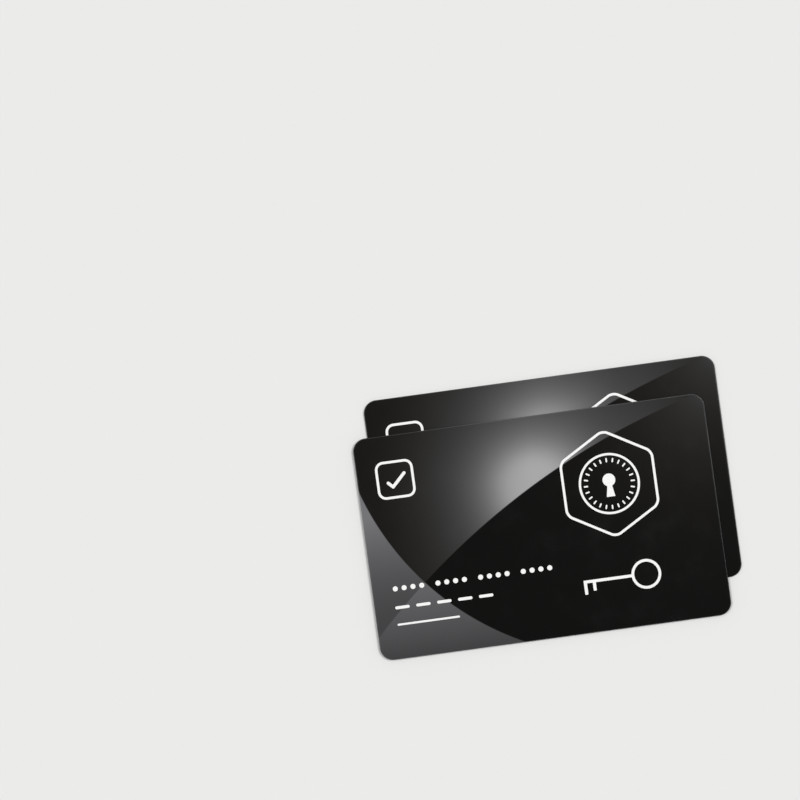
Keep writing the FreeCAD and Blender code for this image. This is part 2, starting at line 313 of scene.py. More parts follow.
def edit_bar(length, width, place, corner):
    """A flat bar with rounded corners, in edit mode."""
    edit_plane("bar", place)
    bpy.ops.transform.resize(value=(length, width, 1), center_override=(*place, 0))
    round_corners(corner)


# %% Raise flat shapes to ink
INK_THICK = 0.008 * MM


def print_ink(name, shapes):
    """Joins flat shapes into one mark and raises it to the thickness of the ink."""
    bpy.ops.object.select_all(action="DESELECT")
    for shape in shapes:
        shape.select_set(True)
    bpy.context.view_layer.objects.active = shapes[0]
    bpy.ops.object.join()
    mark = bpy.context.object
    mark.name = name
    mark.data.name = name
    bpy.ops.object.mode_set(mode="EDIT")
    bpy.ops.mesh.select_all(action="SELECT")
    extrude(up=INK_THICK)
    close_edit()
    print(name, "in mm:", [round(side / MM, 2) for side in mark.dimensions])
    return mark


# %% [markdown]
# ## Badge
# The largest mark is a common figure of safe keeping: the dial of a safe, with a keyhole, in a six-sided
# badge. A disc with six corners gives the badge and one with many gives the dial's ring. One scale mark
# is drawn at the top of the dial and spun round its middle, which is quicker than placing each one. The
# keyhole starts as a disc, whose lowest edges are extruded down, levelled and spread.

# %% Draw the badge and the ring of its dial
BADGE_PLACE = Vector((17.5, 8.2, 0)) * MM
BADGE_RADIUS = 13.2 * MM
BADGE_CORNERS = 6
BADGE_CORNER = 1.5 * MM
BADGE_LINE = 0.60 * MM
DIAL_RADIUS = 7.4 * MM
DIAL_LINE = 0.55 * MM
DIAL_CORNERS = 96

edit_disc("badge", BADGE_RADIUS, BADGE_CORNERS, BADGE_PLACE.xy)
round_corners(BADGE_CORNER)
keep_outline(BADGE_LINE)
badge_shapes = [leave_edit()]

edit_disc("dial", DIAL_RADIUS, DIAL_CORNERS, BADGE_PLACE.xy)
keep_outline(DIAL_LINE)
badge_shapes.append(leave_edit())
print("outlines:", [len(shape.data.polygons) for shape in badge_shapes], "faces")

# %% Spin the scale marks
SCALE_MARKS = 24
SCALE_MARK_LENGTH = 1.05 * MM
SCALE_MARK_WIDTH = 0.37 * MM
SCALE_MARK_RADIUS = 5.7 * MM

top_mark = BADGE_PLACE + Vector((0, SCALE_MARK_RADIUS, 0))
edit_bar(SCALE_MARK_WIDTH, SCALE_MARK_LENGTH, top_mark.xy, SCALE_MARK_WIDTH * ROUND_END_SHARE)
bpy.ops.mesh.select_all(action="SELECT")
bpy.ops.mesh.spin(
    steps=SCALE_MARKS - 1,
    dupli=True,
    angle=math.tau * (SCALE_MARKS - 1) / SCALE_MARKS,
    center=BADGE_PLACE,
    axis=(0, 0, 1),
)
badge_shapes.append(leave_edit())
print("scale marks:", len(badge_shapes[-1].data.polygons))

# %% Draw the keyhole and print the badge
KEYHOLE_RADIUS = 1.55 * MM
KEYHOLE_RISE = 0.9 * MM
KEYHOLE_CORNERS = 32
KEYHOLE_NECK_SHARE = 0.93
KEYHOLE_SLOT = 2.5 * MM
KEYHOLE_FLARE = 1.75

keyhole_top = BADGE_PLACE + Vector((0, KEYHOLE_RISE, 0))
edit_disc("keyhole", KEYHOLE_RADIUS, KEYHOLE_CORNERS, keyhole_top.xy)
neck_height = keyhole_top.y - KEYHOLE_RADIUS * KEYHOLE_NECK_SHARE
pick("EDGE", lambda middle: middle.y < neck_height)
extrude(across=-KEYHOLE_SLOT)
slot_end = keyhole_top - Vector((0, KEYHOLE_RADIUS + KEYHOLE_SLOT, 0))
bpy.ops.transform.resize(value=(KEYHOLE_FLARE, 0, 1), center_override=slot_end)
badge_shapes.append(leave_edit())
badge = print_ink("badge", badge_shapes)

# %% [markdown]
# ## Key
# The key is one unbroken shape: a ring for the bow, whose two outermost edges are extruded into the
# shaft. The shaft is drawn out in stations, so that the edges under its end can be pulled down as bits.

# %% Draw the key
KEY_BOW_PLACE = Vector((23.4, -14.6, 0)) * MM
KEY_BOW_RADIUS = 3.6 * MM
KEY_BOW_CORNERS = 64
KEY_BOW_EDGE_SHARE = 0.993
KEY_LINE = 0.66 * MM
KEY_STATIONS = [8.8 * MM, 0.75 * MM, 1.4 * MM, 0.75 * MM]
KEY_BITS = {1: 2.0 * MM, 3: 2.7 * MM}
KEY_BIT_CORNER = 0.18 * MM

edit_disc("key", KEY_BOW_RADIUS, KEY_BOW_CORNERS, KEY_BOW_PLACE.xy)
keep_outline(KEY_LINE)
shaft_end = KEY_BOW_PLACE.x - KEY_BOW_RADIUS * KEY_BOW_EDGE_SHARE
pick("EDGE", lambda middle: middle.x < shaft_end)
spans = []
for length in KEY_STATIONS:
    station_end = shaft_end - length
    extrude(along=-length)
    bpy.ops.transform.resize(value=(0, 1, 1), center_override=(station_end, KEY_BOW_PLACE.y, 0))
    spans.append((station_end, shaft_end))
    shaft_end = station_end
under_shaft = KEY_BOW_PLACE.y - KEY_LINE / 4
for station, length in KEY_BITS.items():
    left, right = spans[station]
    pick("EDGE", lambda middle: left + TOUCHING < middle.x < right - TOUCHING and middle.y < under_shaft)
    extrude(across=-length)
    bit_end = under_shaft - length
    pick("VERT", lambda middle: left - TOUCHING < middle.x < right + TOUCHING and middle.y < bit_end)
    round_corners(KEY_BIT_CORNER)
key = print_ink("key", [leave_edit()])

# %% [markdown]
# ## Tick in a box
# A rounded square with a tick in it is the common sign for checked and safe. The tick starts as a small
# square that stands on its corner, and its two upper edges are extruded into a short and a long arm. The
# ends and the outer bend are rounded, as a pen leaves them.

# %% Draw the tick box
BOX_PLACE = Vector((-33.6, 16.2, 0)) * MM
BOX_SIDE = 9.2 * MM
BOX_CORNER = 2.0 * MM
BOX_LINE = 0.60 * MM
TICK_ELBOW = BOX_PLACE + Vector((-0.75, -1.75, 0)) * MM
TICK_LINE = 0.76 * MM
TICK_SHORT_ARM = 1.5 * MM
TICK_LONG_ARM = 4.3 * MM
SQUARE_CORNERS = 4
SLANT = math.sqrt(0.5)

edit_bar(BOX_SIDE, BOX_SIDE, BOX_PLACE.xy, BOX_CORNER)
keep_outline(BOX_LINE)
box_shapes = [leave_edit()]

edit_disc("tick", TICK_LINE * SLANT, SQUARE_CORNERS, TICK_ELBOW.xy)
pick("EDGE", lambda middle: middle.x > TICK_ELBOW.x and middle.y > TICK_ELBOW.y)
extrude(along=TICK_LONG_ARM * SLANT, across=TICK_LONG_ARM * SLANT)
pick("EDGE", lambda middle: middle.x < TICK_ELBOW.x and middle.y > TICK_ELBOW.y)
extrude(along=-TICK_SHORT_ARM * SLANT, across=TICK_SHORT_ARM * SLANT)
inner_bend = TICK_ELBOW + Vector((0, TICK_LINE * SLANT, 0))
sides = [TICK_ELBOW + Vector((reach * TICK_LINE * SLANT, 0, 0)) for reach in (-1, 1)]
pick("VERT", lambda middle: min((middle - corner).length for corner in [inner_bend, *sides]) > TOUCHING)
round_corners(TICK_LINE * ROUND_END_SHARE)
box_shapes.append(leave_edit())
tick_box = print_ink("tick_box", box_shapes)

# %% [markdown]
# ## Rows of dots and dashes
# The lower left of the face carries plain rows that say nothing: four groups of dots, as for a number
# that is kept hidden, then a row of dashes and a plain rule. All start at the same left margin, and each
# kind is a loop over its own pitch.

# %% Draw the dots
ROW_LEFT = -37.8 * MM
DOT_ROW_HEIGHT = -10.0 * MM
DOT_RADIUS = 0.62 * MM
DOT_CORNERS = 24
DOT_PITCH = 2.15 * MM
DOT_GROUP_PITCH = 10.4 * MM
DOT_GROUPS = 4
DOTS_IN_GROUP = 4

row_shapes = []
for group in range(DOT_GROUPS):
    for dot in range(DOTS_IN_GROUP):
        dot_left = ROW_LEFT + group * DOT_GROUP_PITCH + dot * DOT_PITCH
        edit_disc("dot", DOT_RADIUS, DOT_CORNERS, (dot_left + DOT_RADIUS, DOT_ROW_HEIGHT))
        row_shapes.append(leave_edit())
print("dots:", len(row_shapes))

# %% Draw the dashes and the rule, and print the rows
DASH_ROW_HEIGHT = -14.6 * MM
DASH_LENGTH = 3.5 * MM
DASH_WIDTH = 0.72 * MM
DASH_PITCH = 5.1 * MM
DASHES = 5
RULE_HEIGHT = -18.7 * MM
RULE_LENGTH = 15.2 * MM
RULE_WIDTH = 0.48 * MM

for dash in range(DASHES):
    dash_middle = ROW_LEFT + dash * DASH_PITCH + DASH_LENGTH / 2
    edit_bar(DASH_LENGTH, DASH_WIDTH, (dash_middle, DASH_ROW_HEIGHT), DASH_WIDTH * ROUND_END_SHARE)
    row_shapes.append(leave_edit())
rule_middle = ROW_LEFT + RULE_LENGTH / 2
edit_bar(RULE_LENGTH, RULE_WIDTH, (rule_middle, RULE_HEIGHT), RULE_WIDTH * ROUND_END_SHARE)
row_shapes.append(leave_edit())
rows = print_ink("rows", row_shapes)

# %% [markdown]
# ## Two cards from one set of pieces
# Both cards come off the same press, so each piece is modelled once and copied, with a mesh of its own.
# A copy's place is put into its mesh, which leaves the object itself at the origin. The back of a card is
# the same skin turned over. The ink sinks a hair into the film, so that no two faces lie in one plane.


# %% Copy a piece to its place
def copy_to(piece, name, body, place, turned_over=False):
    """A copy of a piece with its own mesh, put in place and riding on a card."""
    bpy.ops.object.select_all(action="DESELECT")
    piece.select_set(True)
    bpy.context.view_layer.objects.active = piece
    bpy.ops.object.duplicate()
    copy = bpy.context.object
    copy.name = name
    copy.data.name = name
    copy.location = place
    if turned_over:
        copy.rotation_euler.x = math.pi
    bpy.ops.object.transform_apply(location=True, rotation=True, scale=True)
    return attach(copy, body)


# %% Put the pieces on both cards
INK_SINK = 0.002 * MM

card_middles = {}
skins = {"face": {}, "back": {}}
inks = []
for card in CARDS:
    sheet_low, sheet_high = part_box(card + "_face_print_sheet")
    back_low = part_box(card + "_back_overlay")[0]
    face_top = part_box(card + "_face_overlay")[1].z
    middle = (sheet_low + sheet_high) / 2
    card_middles[card] = middle
    face_place = (middle.x, middle.y, sheet_low.z)
    back_place = (middle.x, middle.y, back_low.z + skin_thick)
    ink_place = (middle.x, middle.y, face_top - INK_SINK)
    skins["face"][card] = copy_to(skin, card + "_face_skin", card, face_place)
    skins["back"][card] = copy_to(skin, card + "_back_skin", card, back_place, turned_over=True)
    for side in skins:
        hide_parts(f"{card}_{side}_print_sheet", f"{card}_{side}_overlay")
    for mark in (badge, key, tick_box, rows):
        ink = copy_to(mark, f"{card}_{mark.name}_ink", card, ink_place)
        inks.append(ink)

bpy.ops.object.select_all(action="DESELECT")
for model in (skin, badge, key, tick_box, rows):
    model.select_set(True)
bpy.ops.object.delete()

# %% [markdown]
# ## Tools for wiring materials
# A material is a small machine of nodes. These helpers each add one node, or feed one socket, so that the
# recipes below read as sums. All patterns are worked out in millimetres from a card's middle: the Mapping
# node turns metres into millimetres and moves the zero there.


# %% Add nodes and feed sockets
def add(tree, kind, **settings):
    """A new node with its settings."""
    node = tree.nodes.new("ShaderNode" + kind)
    for setting, choice in settings.items():
        setattr(node, setting, choice)
    return node


def feed(tree, source, socket):
    """Gives an input a link from another node, or a plain value."""
    if isinstance(source, bpy.types.NodeSocket):
        tree.links.new(source, socket)
    else:
        socket.default_value = source


def feed_all(tree, sources, sockets):
    """Feeds a row of inputs in turn."""
    for source, socket in zip(sources, sockets):
        feed(tree, source, socket)


# %% Reckon with numbers and places
def reckon(tree, operation, *numbers):
    """One step of arithmetic."""
    step = add(tree, "Math", operation=operation)
    feed_all(tree, numbers, step.inputs)
    return step.outputs["Value"]


def away(tree, place, point):
    """The distance from a point."""
    step = add(tree, "VectorMath", operation="DISTANCE")
    feed_all(tree, (place, point), step.inputs)
    return step.outputs["Value"]


def stretch(tree, place, factors):
    """Places stretched along each axis."""
    step = add(tree, "VectorMath", operation="MULTIPLY")
    feed_all(tree, (place, factors), step.inputs)
    return step.outputs["Vector"]


def scaled(tree, colour, share):
    """A colour with all its parts times a number."""
    step = add(tree, "VectorMath", operation="SCALE")
    feed(tree, colour, step.inputs[0])
    feed(tree, share, step.inputs["Scale"])
    return step.outputs["Vector"]


def split(tree, vector):
    """A vector's three parts, by the names of their axes."""
    step = add(tree, "SeparateXYZ")
    feed(tree, vector, step.inputs["Vector"])
    return step.outputs


# %% Go from one range, number or colour to another
def spread(tree, value, low, high, out_low=0.0, out_high=1.0, curve="SMOOTHSTEP"):
    """A value carried from one range to another, and held at its ends."""
    step = add(tree, "MapRange", interpolation_type=curve)
    feed_all(tree, (value, low, high, out_low, out_high), step.inputs)
    return step.outputs["Result"]


def between(tree, share, first, second):
    """A number between two others. A Mix node has a set of sockets for each kind of value."""
    step = add(tree, "Mix", data_type="FLOAT")
    feed_all(tree, (share, first, second), (step.inputs[0], step.inputs[2], step.inputs[3]))
    return step.outputs[0]


def between_colours(tree, share, first, second):
    """A colour between two others, through the same node's sockets for colours."""
    step = add(tree, "Mix", data_type="RGBA")
    feed_all(tree, (share, first, second), (step.inputs[0], step.inputs[6], step.inputs[7]))
    return step.outputs[2]


# %% Draw noise
CLOUD_DETAIL = 2.0
CLOUD_LOW, CLOUD_HIGH = 0.3, 0.7


def cloud(tree, place, scale=1.0, detail=CLOUD_DETAIL):
    """Soft noise with about so many blots to the millimetre."""
    noise = add(tree, "TexNoise")
    feed(tree, place, noise.inputs["Vector"])
    feed(tree, scale, noise.inputs["Scale"])
    feed(tree, detail, noise.inputs["Detail"])
    return noise.outputs["Fac"]


def cloud_range(tree, noise, low=0.0, high=1.0):
    """Soft noise, which seldom reaches 0 or 1, carried to a range that it fills."""
    return spread(tree, noise, CLOUD_LOW, CLOUD_HIGH, low, high)


# %% Make groups and finishes
def new_group(name, inputs, outputs):
    """An empty node group; gives back its tree, what comes in and what goes out."""
    group = bpy.data.node_groups.new(name, "ShaderNodeTree")
    for socket, kind in inputs.items():
        group.interface.new_socket(socket, in_out="INPUT", socket_type="NodeSocket" + kind)
    for socket, kind in outputs.items():
        group.interface.new_socket(socket, in_out="OUTPUT", socket_type="NodeSocket" + kind)
    return group, group.nodes.new("NodeGroupInput").outputs, group.nodes.new("NodeGroupOutput").inputs


def use(tree, group, **sources):
    """Places a node group in a material, fed by these sources."""
    placed = add(tree, "Group", node_tree=group)
    for socket, source in sources.items():
        feed(tree, source, placed.inputs[socket])
    return placed.outputs


def new_finish(name, middle=Vector()):
    """A material; gives it back with its nodes, its shader's sockets and the place in millimetres."""
    finish = bpy.data.materials.new(name)
    finish.use_nodes = True
    tree = finish.node_tree
    to_card = add(tree, "Mapping")
    to_card.inputs["Location"].default_value = -middle / MM
    to_card.inputs["Scale"].default_value = [1 / MM] * 3
    feed(tree, add(tree, "TexCoord").outputs["Object"], to_card.inputs["Vector"])
    return finish, tree, tree.nodes["Principled BSDF"].inputs, to_card.outputs["Vector"]


def emboss(tree, height, depth_mm, shader):
    """Feeds a shader's Normal with a relief of so many millimetres."""
    relief = add(tree, "Bump")
    feed(tree, height, relief.inputs["Height"])
    relief.inputs["Distance"].default_value = depth_mm * MM
    relief.inputs["Strength"].default_value = 1.0
    feed(tree, relief.outputs["Normal"], shader["Normal"])


# %% [markdown]
# ## The grey sweep in the print, a painted reflection
# The face isn't plain black. Its print carries a gloss sweep, greys that paint a reflection and a
# highlight into the face's colour. Two large arcs cross it: above the first a soft grey painted highlight
# fans out from the top edge, and below the second, in the lower left corner, lies a cooler grey painted
# reflection that brightens upwards. The first arc runs on through that corner, where the grey brightens
# once more below it. An arc is where the distance from a far point passes a radius, so two distances and
# two soft steps draw all the edges without any picture. All lengths here are millimetres from the card's
# middle.

# %% Draw the two arcs
ARC_LIGHT_MIDDLE = (85.7, -148.1, 0)
ARC_LIGHT_RADIUS = 180.5
ARC_CORNER_MIDDLE = (22.8, 34.5, 0)
ARC_CORNER_RADIUS = 68.6
ARC_SOFTNESS = 0.14

# The sweep is print whose greys paint a reflection and a highlight on the gloss.
sweep, given, made = new_group("grey_sweep", {"Place": "Vector"}, {"Colour": "Color"})
flat_place = stretch(sweep, given["Place"], (1, 1, 0))
along_card = split(sweep, given["Place"])


def outside_arc(middle, radius):
    """A soft step from 0 inside an arc to 1 outside it."""
    return spread(sweep, away(sweep, flat_place, middle), radius - ARC_SOFTNESS, radius + ARC_SOFTNESS)


above_light_arc = outside_arc(ARC_LIGHT_MIDDLE, ARC_LIGHT_RADIUS)
below_corner_arc = outside_arc(ARC_CORNER_MIDDLE, ARC_CORNER_RADIUS)
print("arc radii in mm:", ARC_LIGHT_RADIUS, ARC_CORNER_RADIUS)

# %% [markdown]
# The painted highlight above the first arc is a wide spot with a flat top. It is squeezed a little more
# above its middle than below it, and its fall is a power of the squared distance plus one, which stays
# even near the middle and then falls away slowly. Towards the left edge it fades, and far to the right it
# lifts.

# %% Paint the highlight above the first arc
BLACK_GREY = 0.0034
PAINTED_HIGHLIGHT_GREY = 0.385
LIGHT_MIDDLE = (-0.4, 10.6)
LIGHT_SQUEEZE_ABOVE, LIGHT_SQUEEZE_BELOW = 1.16, 0.85
LIGHT_REACH = 8.5
LIGHT_FLATNESS, LIGHT_FALL = 2.65, -0.36
LIGHT_LEFT_END, LIGHT_LEFT_START = -38.7, -0.6
LIGHT_LEFT_SHARE = 0.23
LIGHT_RIGHT_START, LIGHT_RIGHT_END = 18.5, 27.6
LIGHT_RIGHT_SHARE = 1.16

# The spot is a painted highlight in the face's colour.
light_x = reckon(sweep, "SUBTRACT", along_card["X"], LIGHT_MIDDLE[0])
light_y = reckon(sweep, "SUBTRACT", along_card["Y"], LIGHT_MIDDLE[1])
light_above = reckon(sweep, "MULTIPLY", reckon(sweep, "MAXIMUM", light_y, 0.0), LIGHT_SQUEEZE_ABOVE)
light_below = reckon(sweep, "MULTIPLY", reckon(sweep, "MINIMUM", light_y, 0.0), LIGHT_SQUEEZE_BELOW)
light_rise = reckon(sweep, "ADD", light_above, light_below)
light_square = reckon(sweep, "MULTIPLY_ADD", light_x, light_x, reckon(sweep, "POWER", light_rise, 2.0))
light_share = reckon(sweep, "MULTIPLY", light_square, LIGHT_REACH ** -2)
flat_top = reckon(sweep, "ADD", reckon(sweep, "POWER", light_share, LIGHT_FLATNESS), 1.0)
light_fall = reckon(sweep, "POWER", flat_top, LIGHT_FALL)
left_fade = spread(
    sweep, along_card["X"], LIGHT_LEFT_END, LIGHT_LEFT_START, LIGHT_LEFT_SHARE, 1.0, "LINEAR"
)
right_lift = spread(
    sweep, along_card["X"], LIGHT_RIGHT_START, LIGHT_RIGHT_END, 1.0, LIGHT_RIGHT_SHARE, "LINEAR"
)
side_share = reckon(sweep, "MULTIPLY", left_fade, right_lift)
painted_highlight_tone = reckon(
    sweep, "MULTIPLY_ADD", reckon(sweep, "MULTIPLY", light_fall, side_share), PAINTED_HIGHLIGHT_GREY, BLACK_GREY
)
print("light spot at", LIGHT_MIDDLE, "mm, reach", LIGHT_REACH, "mm")

# %% [markdown]
# Under the first arc the face is black, with a faint painted gleam in the upper right corner, a painted
# highlight that dies away as a mist does. The lower left corner has two greys of the painted reflection
# that rise with the height on the card, one on each side of the first arc.

# %% Shade the black with its painted gleam, paint the corner's greys, and put the tones together
PAINTED_GLEAM_MIDDLE = (44.0, 28.0, 0)
PAINTED_GLEAM_REACH = 12.2
PAINTED_GLEAM_GREY = 0.037
CORNER_GREY = 0.054
CORNER_RISE_GREY = 0.12
CORNER_LOW, CORNER_HIGH = -21.2, 7.6
FOOT_LOW, FOOT_HIGH = -27.8, -9.6
FOOT_LOW_GREY, FOOT_HIGH_GREY = 0.046, 0.127

# The gleam is a painted highlight; the corner's greys below are part of the painted reflection.
painted_gleam_fall = reckon(sweep, "DIVIDE", away(sweep, flat_place, PAINTED_GLEAM_MIDDLE), -PAINTED_GLEAM_REACH)
black_and_painted_gleam_tone = reckon(sweep, "MULTIPLY_ADD", reckon(sweep, "EXPONENT", painted_gleam_fall), PAINTED_GLEAM_GREY, BLACK_GREY)
corner_rise = spread(sweep, along_card["Y"], CORNER_LOW, CORNER_HIGH, curve="LINEAR")
corner_top_tone = reckon(
    sweep, "MULTIPLY_ADD", reckon(sweep, "POWER", corner_rise, 2.0), CORNER_RISE_GREY, CORNER_GREY
)
corner_foot_tone = spread(
    sweep, along_card["Y"], FOOT_LOW, FOOT_HIGH, FOOT_LOW_GREY, FOOT_HIGH_GREY, "LINEAR"
)
corner_tone = between(sweep, above_light_arc, corner_foot_tone, corner_top_tone)
upper_tone = between(sweep, above_light_arc, black_and_painted_gleam_tone, painted_highlight_tone)
tone = between(sweep, below_corner_arc, upper_tone, corner_tone)
print("tone nodes:", len(sweep.nodes))

# %% [markdown]
# Darker greys lean to brown, as black ink does when it is thin, and the corner's greys are a little cool.

# %% Tint the tones and put them out
WARM_BELOW, NEUTRAL_ABOVE = 0.008, 0.04
WARM_TINT = (1.08, 1.0, 0.92, 1)
NEUTRAL_TINT = (1.0, 1.0, 1.0, 1)
COOL_TINT = (0.99, 0.985, 1.03, 1)

neutral_share = spread(sweep, tone, WARM_BELOW, NEUTRAL_ABOVE)
ink_tint = between_colours(sweep, neutral_share, WARM_TINT, NEUTRAL_TINT)
tint = between_colours(sweep, below_corner_arc, ink_tint, COOL_TINT)
feed(sweep, scaled(sweep, tint, tone), made["Colour"])
print("sweep nodes:", len(sweep.nodes))

# %% [markdown]
# ## Handling marks on the gloss
# A new laminated card is almost a mirror, but never quite: the press leaves a faint orange peel, fingers
# leave dull smears, and sliding in and out of a pocket draws hairlines, mostly lengthwise. Noise that is
# stretched far along one direction and cut off near its peak gives hairlines. The group puts out a
# roughness and a height, and the faces and backs of both cards share it.

# %% Build the handling marks as a node group
HAIRLINES = ((4.0, 0.05), (-11.0, 0.035), (78.0, 0.04))
HAIRLINE_FINENESS = 5.0
HAIRLINE_DETAIL = 3.0
HAIRLINE_START, HAIRLINE_PEAK = 0.71, 0.80
HAIRLINE_ROUGHNESS = 0.06
SMEAR_SCALE, SMEAR_DETAIL = 0.11, 4.0
SMEAR_START, SMEAR_PEAK = 0.45, 0.75
SMEAR_ROUGHNESS = 0.035
GLOSS_ROUGHNESS = 0.075
PEEL_SCALE, PEEL_DETAIL = 0.9, 1.0
PEEL_SHARE = 0.35

handling, given, made = new_group(
    "handling_marks", {"Place": "Vector"}, {"Roughness": "Float", "Height": "Float"}
)
hairline = 0.0
for angle, slowness in HAIRLINES:
    turned = add(handling, "VectorRotate", rotation_type="Z_AXIS")
    feed(handling, given["Place"], turned.inputs["Vector"])
    turned.inputs["Angle"].default_value = math.radians(angle)
    drawn_out = stretch(handling, turned.outputs["Vector"], (slowness, HAIRLINE_FINENESS, 1))
    fibres = cloud(handling, drawn_out, detail=HAIRLINE_DETAIL)
    peak = spread(handling, fibres, HAIRLINE_START, HAIRLINE_PEAK)
    hairline = reckon(handling, "MAXIMUM", hairline, peak)
smudges = cloud(handling, given["Place"], SMEAR_SCALE, SMEAR_DETAIL)
smear = spread(handling, smudges, SMEAR_START, SMEAR_PEAK)
roughness = reckon(handling, "MULTIPLY_ADD", smear, SMEAR_ROUGHNESS, GLOSS_ROUGHNESS)
roughness = reckon(handling, "MULTIPLY_ADD", hairline, HAIRLINE_ROUGHNESS, roughness)
dimples = cloud(handling, given["Place"], PEEL_SCALE, PEEL_DETAIL)
peel = reckon(handling, "MULTIPLY", dimples, PEEL_SHARE)
feed(handling, roughness, made["Roughness"])
feed(handling, reckon(handling, "SUBTRACT", peel, hairline), made["Height"])
print("handling nodes:", len(handling.nodes))

# %% [markdown]
# ## Cut marks on the edge
# The die drags the plastic as it punches the card out, so the edge is dull and streaked from face to
# back. Noise that changes quickly along the edge and slowly through the thickness gives those streaks.

# %% Build the cut marks as a node group
STREAK_FINENESS = (7.0, 7.0, 0.8)
STREAK_DETAIL = 3.0
CUT_SMOOTHEST, CUT_ROUGHEST = 0.42, 0.62

cut_marks, given, made = new_group(
    "cut_marks", {"Place": "Vector"}, {"Streak": "Float", "Roughness": "Float"}
)
streak = cloud(cut_marks, stretch(cut_marks, given["Place"], STREAK_FINENESS), detail=STREAK_DETAIL)
feed(cut_marks, cloud_range(cut_marks, streak), made["Streak"])
feed(cut_marks, cloud_range(cut_marks, streak, CUT_SMOOTHEST, CUT_ROUGHEST), made["Roughness"])
print("cut mark nodes:", len(cut_marks.nodes))

# %% [markdown]
# ## Bruise and painted highlight along the rim
# Where the film rolls over the edge it is bruised and turns milky, in places more than in others, and the
# thin grey line round each card is that bruise with a painted highlight on it. Both lie over the print,
# so the group takes the print's colour and only ever lightens it. The line is palest at the upper right
# and
# fades towards the lower left: that fall-off is painted light, as if the light came from the upper right,
# so the place along that direction sets how bright the line is.

# %% Build the bruise and the painted rim highlight as a node group
RIM_BRUISE_AND_HIGHLIGHT = (0.037, 0.037, 0.037)
RIM_CLOUD_SCALE, RIM_CLOUD_DETAIL = 0.22, 5.0
RIM_BRUISE_START, RIM_BRUISE_PEAK = 0.4, 0.62
RIM_BRUISE_LEAST = 0.75
RIM_LIGHT_DIRECTION = (0.45, 0.89, 0)
RIM_HIGHLIGHT_GONE_AT, RIM_HIGHLIGHT_FULL_AT = 1.0, 35.0
RIM_SMOOTHEST, RIM_ROUGHEST = 0.42, 0.56

rim_bruise_and_highlight, given, made = new_group(
    "rim_bruise_and_highlight", {"Place": "Vector", "Print": "Color"}, {"Colour": "Color", "Roughness": "Float"}
)
# The rim's grey is a bruise with a painted highlight on it; its fall-off from the upper right is painted
# light.
blots = cloud(rim_bruise_and_highlight, given["Place"], RIM_CLOUD_SCALE, RIM_CLOUD_DETAIL)
bruise = spread(rim_bruise_and_highlight, blots, RIM_BRUISE_START, RIM_BRUISE_PEAK)
toward_rim_light = add(rim_bruise_and_highlight, "VectorMath", operation="DOT_PRODUCT")
feed_all(rim_bruise_and_highlight, (given["Place"], RIM_LIGHT_DIRECTION), toward_rim_light.inputs)
rim_highlight_share = spread(rim_bruise_and_highlight, toward_rim_light.outputs["Value"], RIM_HIGHLIGHT_GONE_AT, RIM_HIGHLIGHT_FULL_AT, curve="LINEAR")
bruise_share = between(rim_bruise_and_highlight, bruise, RIM_BRUISE_LEAST, 1.0)
bruise_and_highlight_grey = scaled(rim_bruise_and_highlight, RIM_BRUISE_AND_HIGHLIGHT, reckon(rim_bruise_and_highlight, "MULTIPLY", rim_highlight_share, bruise_share))
lightened = add(rim_bruise_and_highlight, "VectorMath", operation="MAXIMUM")
feed_all(rim_bruise_and_highlight, (given["Print"], bruise_and_highlight_grey), lightened.inputs)
feed(rim_bruise_and_highlight, lightened.outputs["Vector"], made["Colour"])
feed(rim_bruise_and_highlight, between(rim_bruise_and_highlight, bruise, RIM_SMOOTHEST, RIM_ROUGHEST), made["Roughness"])
print("bruise nodes:", len(rim_bruise_and_highlight.nodes))

# %% [markdown]
# ## Face and back finishes
# The printed face takes its colour from the sweep, with its painted highlight and reflection, and its
# gloss from the handling marks, with the fine speckle of the print run over it. The back, which the
# picture doesn't show, is plain black under the same film. Each card has its own, because the patterns
# start from its own middle.

# %% Mix the face and back finishes
SPECKLE_SCALE = 9.0
SPECKLE_LOW, SPECKLE_HIGH = 0.93, 1.07
MARK_DEPTH = 0.0012
BACK_DARK = (0.0034, 0.0033, 0.0032, 1)
BACK_PALE = (0.0052, 0.005, 0.0048, 1)
BACK_CLOUD_SCALE, BACK_CLOUD_DETAIL = 0.35, 3.0


def lay_gloss(tree, shader, place):
    """Feeds a shader's Roughness and Normal with the handling marks."""
    marks = use(tree, handling, Place=place)
    feed(tree, marks["Roughness"], shader["Roughness"])
    emboss(tree, marks["Height"], MARK_DEPTH, shader)


finishes = {"face": {}, "back": {}}
for card in CARDS:
    finish, tree, shader, place = new_finish(card + "_printed_face", card_middles[card])
    speckle = cloud_range(tree, cloud(tree, place, SPECKLE_SCALE), SPECKLE_LOW, SPECKLE_HIGH)
    print_colour = use(tree, sweep, Place=place)["Colour"]
    feed(tree, scaled(tree, print_colour, speckle), shader["Base Color"])
    lay_gloss(tree, shader, place)
    finishes["face"][card] = finish

    finish, tree, shader, place = new_finish(card + "_black_back", card_middles[card])
    mottle = cloud(tree, place, BACK_CLOUD_SCALE, BACK_CLOUD_DETAIL)
    feed(tree, between_colours(tree, mottle, BACK_DARK, BACK_PALE), shader["Base Color"])
    lay_gloss(tree, shader, place)
    finishes["back"][card] = finish
    print(card, "finishes:", [finishes[side][card].name for side in finishes])

# %% [markdown]
# ## Rim finishes
# Each side of a card has a rim that carries the side's colour out over the roll, lightened by the bruise
# and its painted highlight.
# On the rim's flat border the bruise lies under the gloss, and on the roll the gloss is scuffed off, so
# the roughness follows how far the surface leans.

# %% Mix the rim finishes
SCUFFED_LEAN, GLOSSY_LEAN = math.radians(5), math.radians(1)

